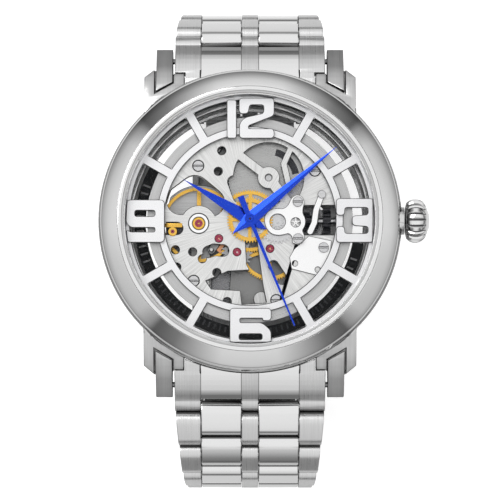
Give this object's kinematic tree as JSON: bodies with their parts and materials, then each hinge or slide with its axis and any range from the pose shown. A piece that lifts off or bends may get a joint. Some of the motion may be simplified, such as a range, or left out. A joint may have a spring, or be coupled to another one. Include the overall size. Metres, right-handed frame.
{
  "type": "skeleton wristwatch",
  "caption": "Round skeleton wristwatch with open-worked dial, raised numerals, blue hands, visible movement, fluted crown and folding-clasp metal bracelet.",
  "frame": {"origin": "on the dial's axis, at the outer face of the case back", "axes": "+Z out of the dial towards the reader, +Y towards twelve o'clock, +X towards the crown"},
  "size_m": [0.048, 0.0711, 0.0449],
  "materials": {
    "brushed_steel": "brushed",
    "polished_steel": "polished",
    "satin_silver": "satin",
    "glass": "clear",
    "rubber": "matte",
    "plated_brass": "satin",
    "gilt_brass": "polished",
    "blued_steel": "polished",
    "hard_steel": "polished",
    "ruby": "clear",
    "spring_alloy": "polished",
    "rotor_steel": "satin"
  },
  "bodies": {
    "watch_head": {"case_middle": "brushed_steel", "bezel": "polished_steel", "crystal": "glass", "gaskets": "rubber", "rehaut_ring": "polished_steel", "dial": "satin_silver", "numerals": "satin_silver", "movement_ring": "plated_brass", "case_back": "brushed_steel", "back_crystal": "glass", "main_plate": "plated_brass", "bridges": "plated_brass", "balance_cock": "plated_brass", "hairspring": "spring_alloy", "motion_bridge": "plated_brass", "keyless_cover": "hard_steel", "rotor_bridge": "plated_brass", "jewels": "ruby", "movement_screws": "hard_steel", "end_links": "brushed_steel", "spring_bars": "hard_steel"},
    "seconds": {"fourth_wheel": "gilt_brass", "seconds_hand": "blued_steel"},
    "minutes": {"centre_wheel": "gilt_brass", "minute_hand": "blued_steel"},
    "hours": {"hour_wheel": "gilt_brass", "hour_hand": "blued_steel"},
    "third": {"third_wheel": "gilt_brass"},
    "escape": {"escape_wheel": "hard_steel"},
    "minute_train": {"minute_wheel": "hard_steel"},
    "mainspring_barrel": {"barrel": "plated_brass"},
    "ratchet": {"ratchet_wheel": "hard_steel"},
    "crown_gear": {"crown_wheel": "hard_steel"},
    "fork": {"pallet_fork": "hard_steel"},
    "balance": {"balance_wheel": "gilt_brass"},
    "winding_clutch": {"winding_pinions": "hard_steel"},
    "crown_and_stem": {"crown": "polished_steel", "winding_stem": "hard_steel"},
    "setting": {"setting_lever": "hard_steel"},
    "rotor_mass": {"rotor": "rotor_steel"},
    "link_12_1": {"link_12_1": "brushed_steel"},
    "link_12_2": {"link_12_2": "brushed_steel"},
    "link_12_3": {"link_12_3": "brushed_steel"},
    "link_12_4": {"link_12_4": "brushed_steel"},
    "link_12_5": {"link_12_5": "brushed_steel"},
    "link_12_6": {"link_12_6": "brushed_steel"},
    "link_12_7": {"link_12_7": "brushed_steel"},
    "link_6_1": {"link_6_1": "brushed_steel"},
    "link_6_2": {"link_6_2": "brushed_steel"},
    "link_6_3": {"link_6_3": "brushed_steel"},
    "link_6_4": {"link_6_4": "brushed_steel"},
    "link_6_5": {"link_6_5": "brushed_steel"},
    "link_6_6": {"link_6_6": "brushed_steel"},
    "link_6_7": {"link_6_7": "brushed_steel"},
    "link_6_8": {"link_6_8": "brushed_steel"},
    "inner_blade": {"clasp_inner_blade": "polished_steel"},
    "outer_blade": {"clasp_outer_blade": "polished_steel"},
    "cover": {"clasp_cover": "brushed_steel"},
    "pusher_left": {"clasp_pusher_left": "polished_steel"},
    "pusher_right": {"clasp_pusher_right": "polished_steel"}
  },
  "joints": [
    {"name": "seconds_turn", "type": "hinge", "parent": "watch_head", "child": "seconds", "pos_m": [0, 0, 0.009], "axis": [0, 0, -1], "continuous": true},
    {"name": "third_turn", "type": "hinge", "parent": "watch_head", "child": "third", "pos_m": [0.0029, -0.00413, 0.006], "axis": [0, 0, -1], "continuous": true},
    {"name": "minutes_turn", "type": "hinge", "parent": "watch_head", "child": "minutes", "pos_m": [0, 0, 0.009], "axis": [0, 0, -1], "continuous": true},
    {"name": "escape_turn", "type": "hinge", "parent": "watch_head", "child": "escape", "pos_m": [-0.00188, -0.00463, 0.006], "axis": [0, 0, -1], "continuous": true},
    {"name": "minute_train_turn", "type": "hinge", "parent": "watch_head", "child": "minute_train", "pos_m": [0.004, -0.0003, 0.0085], "axis": [0, 0, -1], "continuous": true},
    {"name": "hours_turn", "type": "hinge", "parent": "watch_head", "child": "hours", "pos_m": [0, 0, 0.009], "axis": [0, 0, -1], "continuous": true},
    {"name": "barrel_turn", "type": "hinge", "parent": "watch_head", "child": "mainspring_barrel", "pos_m": [0.0027, 0.0062, 0.0055], "axis": [0, 0, -1], "continuous": true},
    {"name": "balance_swing", "type": "hinge", "parent": "watch_head", "child": "balance", "pos_m": [-0.00743, -0.00047, 0.005], "axis": [0, 0, 1], "range_deg": [-270, 270]},
    {"name": "fork_swing", "type": "hinge", "parent": "watch_head", "child": "fork", "pos_m": [-0.00451, -0.00266, 0.006], "axis": [0, 0, 1], "range_deg": [-3, 3]},
    {"name": "crown_turn", "type": "hinge", "parent": "watch_head", "child": "winding_clutch", "pos_m": [0, 0, 0.0067], "axis": [1, 0, 0], "continuous": true},
    {"name": "crown_gear_turn", "type": "hinge", "parent": "watch_head", "child": "crown_gear", "pos_m": [0.008, 0, 0.0035], "axis": [0, 0, 1], "continuous": true},
    {"name": "ratchet_turn", "type": "hinge", "parent": "watch_head", "child": "ratchet", "pos_m": [0.0027, 0.0062, 0.0035], "axis": [0, 0, 1], "continuous": true},
    {"name": "crown_pull", "type": "slide", "parent": "winding_clutch", "child": "crown_and_stem", "axis": [1, 0, 0], "range_m": [0, 0.0012]},
    {"name": "lever_swing", "type": "hinge", "parent": "watch_head", "child": "setting", "pos_m": [0.0104, 0.0037, 0.0087], "axis": [0, 0, 1], "range_deg": [-7, 0]},
    {"name": "rotor_turn", "type": "hinge", "parent": "watch_head", "child": "rotor_mass", "pos_m": [0, 0, 0.0025], "axis": [0, 0, 1], "continuous": true},
    {"name": "link_12_1_pivot", "type": "hinge", "parent": "watch_head", "child": "link_12_1", "pos_m": [0, 0.0268, 0.0028], "axis": [1, 0, 0], "range_deg": [0, 59]},
    {"name": "link_12_2_pivot", "type": "hinge", "parent": "link_12_1", "child": "link_12_2", "pos_m": [0, 0.02958, -0.00183], "axis": [1, 0, 0], "range_deg": [0, 17]},
    {"name": "link_12_3_pivot", "type": "hinge", "parent": "link_12_2", "child": "link_12_3", "pos_m": [0, 0.03089, -0.00707], "axis": [1, 0, 0], "range_deg": [0, 14]},
    {"name": "link_12_4_pivot", "type": "hinge", "parent": "link_12_3", "child": "link_12_4", "pos_m": [0, 0.03089, -0.01247], "axis": [1, 0, 0], "range_deg": [0, 12]},
    {"name": "link_12_5_pivot", "type": "hinge", "parent": "link_12_4", "child": "link_12_5", "pos_m": [0, 0.02976, -0.01775], "axis": [1, 0, 0], "range_deg": [0, 14]},
    {"name": "link_12_6_pivot", "type": "hinge", "parent": "link_12_5", "child": "link_12_6", "pos_m": [0, 0.0274, -0.0226], "axis": [1, 0, 0], "range_deg": [0, 18]},
    {"name": "link_12_7_pivot", "type": "hinge", "parent": "link_12_6", "child": "link_12_7", "pos_m": [0, 0.02365, -0.02649], "axis": [1, 0, 0], "range_deg": [0, 22]},
    {"name": "link_6_1_pivot", "type": "hinge", "parent": "watch_head", "child": "link_6_1", "pos_m": [0, -0.0268, 0.0028], "axis": [-1, 0, 0], "range_deg": [0, 24]},
    {"name": "link_6_2_pivot", "type": "hinge", "parent": "link_6_1", "child": "link_6_2", "pos_m": [0, -0.03173, 0.0006], "axis": [-1, 0, 0], "range_deg": [0, 18]},
    {"name": "link_6_3_pivot", "type": "hinge", "parent": "link_6_2", "child": "link_6_3", "pos_m": [0, -0.03575, -0.00301], "axis": [-1, 0, 0], "range_deg": [0, 30]},
    {"name": "link_6_4_pivot", "type": "hinge", "parent": "link_6_3", "child": "link_6_4", "pos_m": [0, -0.03741, -0.00814], "axis": [-1, 0, 0], "range_deg": [0, 18]},
    {"name": "link_6_5_pivot", "type": "hinge", "parent": "link_6_4", "child": "link_6_5", "pos_m": [0, -0.03741, -0.01354], "axis": [-1, 0, 0], "range_deg": [0, 16]},
    {"name": "link_6_6_pivot", "type": "hinge", "parent": "link_6_5", "child": "link_6_6", "pos_m": [0, -0.03593, -0.01874], "axis": [-1, 0, 0], "range_deg": [0, 16]},
    {"name": "link_6_7_pivot", "type": "hinge", "parent": "link_6_6", "child": "link_6_7", "pos_m": [0, -0.03306, -0.02332], "axis": [-1, 0, 0], "range_deg": [0, 18]},
    {"name": "link_6_8_pivot", "type": "hinge", "parent": "link_6_7", "child": "link_6_8", "pos_m": [0, -0.02893, -0.02679], "axis": [-1, 0, 0], "range_deg": [0, 20]},
    {"name": "inner_blade_pivot", "type": "hinge", "parent": "link_12_7", "child": "inner_blade", "pos_m": [0, 0.01871, -0.02868], "axis": [1, 0, 0], "range_deg": [0, 24]},
    {"name": "clasp_fold", "type": "hinge", "parent": "inner_blade", "child": "outer_blade", "pos_m": [0, -0.0175, -0.02928], "axis": [-1, 0, 0], "range_deg": [0, 150]},
    {"name": "cover_fold", "type": "hinge", "parent": "outer_blade", "child": "cover", "pos_m": [0, 0.0136, -0.03059], "axis": [1, 0, 0], "range_deg": [0, 150]},
    {"name": "pusher_left_press", "type": "slide", "parent": "cover", "child": "pusher_left", "axis": [1, 0, 0], "range_m": [0, 0.0006], "stiffness_N_per_m": 200},
    {"name": "pusher_right_press", "type": "slide", "parent": "cover", "child": "pusher_right", "axis": [-1, 0, 0], "range_m": [0, 0.0006], "stiffness_N_per_m": 200}
  ],
  "couplings": [
    {"joint": "third_turn", "follows": "seconds_turn", "ratio": -0.13333},
    {"joint": "minutes_turn", "follows": "seconds_turn", "ratio": 0.016667},
    {"joint": "escape_turn", "follows": "seconds_turn", "ratio": -9},
    {"joint": "minute_train_turn", "follows": "seconds_turn", "ratio": -0.0055556},
    {"joint": "hours_turn", "follows": "seconds_turn", "ratio": 0.0013889},
    {"joint": "barrel_turn", "follows": "seconds_turn", "ratio": -0.0020833},
    {"joint": "crown_gear_turn", "follows": "crown_turn", "ratio": 0.66667},
    {"joint": "ratchet_turn", "follows": "crown_turn", "ratio": -0.4},
    {"joint": "lever_swing", "follows": "crown_pull", "rad_per_m": -100},
    {"joint": "cover_fold", "follows": "clasp_fold", "ratio": 1}
  ]
}
